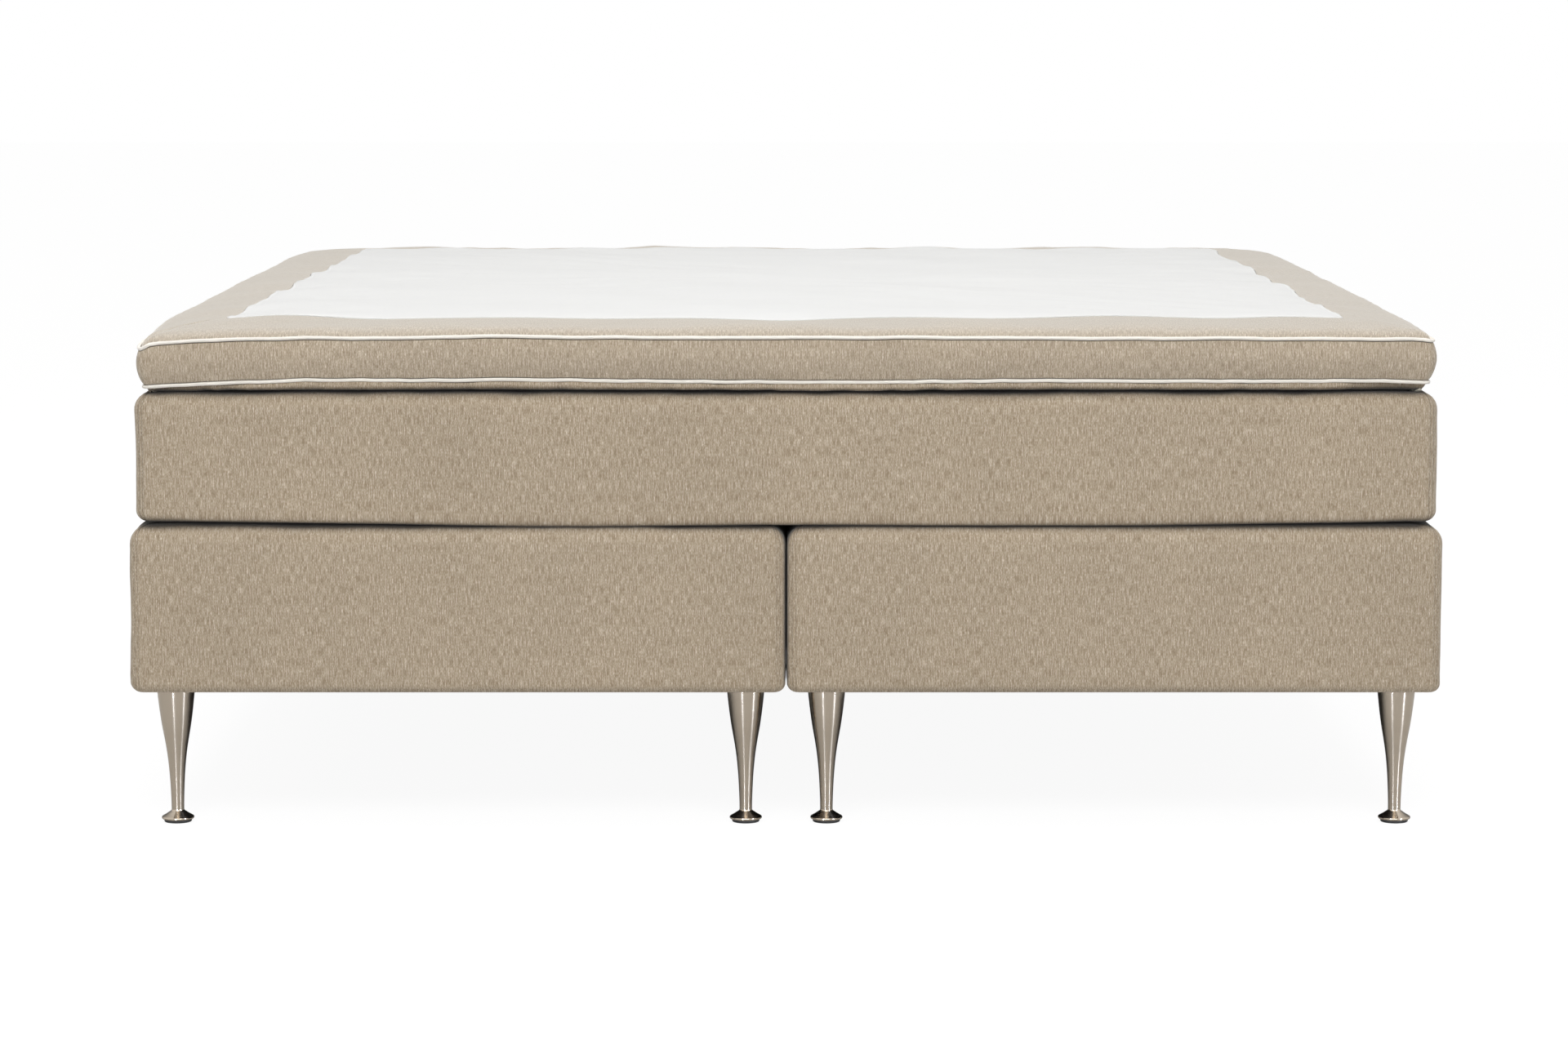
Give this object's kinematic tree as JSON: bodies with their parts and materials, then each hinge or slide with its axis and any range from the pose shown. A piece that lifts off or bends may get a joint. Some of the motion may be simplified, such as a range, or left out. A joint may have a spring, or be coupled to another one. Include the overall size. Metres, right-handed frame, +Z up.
{
  "type": "box spring bed",
  "caption": "Double box spring bed: paired upholstered bases on turned steel legs, a pocket spring mattress and a piped topper with a white centre.",
  "frame": {"origin": "on the floor, under the middle of the bed", "axes": "+Z up, +Y from the foot end to the head end, +X to the right as seen from the foot end"},
  "size_m": [1.8, 2, 0.6976],
  "materials": {
    "beige_fabric": "melange upholstery weave, matt",
    "cream_piping": "smooth woven piping",
    "white_stretch_fabric": "white stretch knit",
    "brushed_steel": "brushed, turned",
    "zinc_steel": "zinc plated",
    "pine": "planed, untreated",
    "foam": "open-cell foam",
    "pocket_fabric": "non-woven spring pockets",
    "dust_cover_fabric": "non-woven, black",
    "glide_plastic": "matt",
    "zip_tape": "woven tape with a plastic chain"
  },
  "bodies": {
    "base": {"base_cover_left": "beige_fabric", "dust_cover_left": "dust_cover_fabric", "base_foam_left": "foam", "base_spring_unit_left": "pocket_fabric", "side_rail_left_inner": "pine", "side_rail_left_outer": "pine", "end_rail_left_foot": "pine", "end_rail_left_head": "pine", "leg_board_left_foot": "pine", "leg_board_left_head": "pine", "slat_left_1": "pine", "slat_left_2": "pine", "slat_left_3": "pine", "leg_left_foot_outer": "brushed_steel", "glide_left_foot_outer": "glide_plastic", "leg_left_foot_inner": "brushed_steel", "glide_left_foot_inner": "glide_plastic", "leg_left_head_outer": "brushed_steel", "glide_left_head_outer": "glide_plastic", "leg_left_head_inner": "brushed_steel", "glide_left_head_inner": "glide_plastic", "base_cover_right": "beige_fabric", "dust_cover_right": "dust_cover_fabric", "base_foam_right": "foam", "base_spring_unit_right": "pocket_fabric", "side_rail_right_inner": "pine", "side_rail_right_outer": "pine", "end_rail_right_foot": "pine", "end_rail_right_head": "pine", "leg_board_right_foot": "pine", "leg_board_right_head": "pine", "slat_right_1": "pine", "slat_right_2": "pine", "slat_right_3": "pine", "leg_right_foot_outer": "brushed_steel", "glide_right_foot_outer": "glide_plastic", "leg_right_foot_inner": "brushed_steel", "glide_right_foot_inner": "glide_plastic", "leg_right_head_outer": "brushed_steel", "glide_right_head_outer": "glide_plastic", "leg_right_head_inner": "brushed_steel", "glide_right_head_inner": "glide_plastic", "link_plate_foot": "zinc_steel", "link_plate_head": "zinc_steel"},
    "mattress": {"mattress_cover": "beige_fabric", "mattress_underside": "beige_fabric", "mattress_foam_bottom": "foam", "mattress_foam_top": "foam", "mattress_foam_surround": "foam", "mattress_spring_core": "pocket_fabric"},
    "topper": {"topper_border": "beige_fabric", "topper_centre_panel": "white_stretch_fabric", "topper_band": "beige_fabric", "topper_underside": "beige_fabric", "topper_zip": "zip_tape", "topper_core": "foam", "topper_piping_top": "cream_piping", "topper_piping_bottom": "cream_piping"},
    "zip_slider": {"zip_slider": "zinc_steel"}
  },
  "joints": [
    {"name": "mattress_lift", "type": "slide", "parent": "base", "child": "mattress", "axis": [0, 0, 1], "range_m": [0, 0.3]},
    {"name": "topper_lift", "type": "slide", "parent": "mattress", "child": "topper", "axis": [0, 0, 1], "range_m": [0, 0.3]},
    {"name": "zip_slide", "type": "slide", "parent": "topper", "child": "zip_slider", "axis": [1, 0, 0], "range_m": [-1.357, 0]}
  ]
}
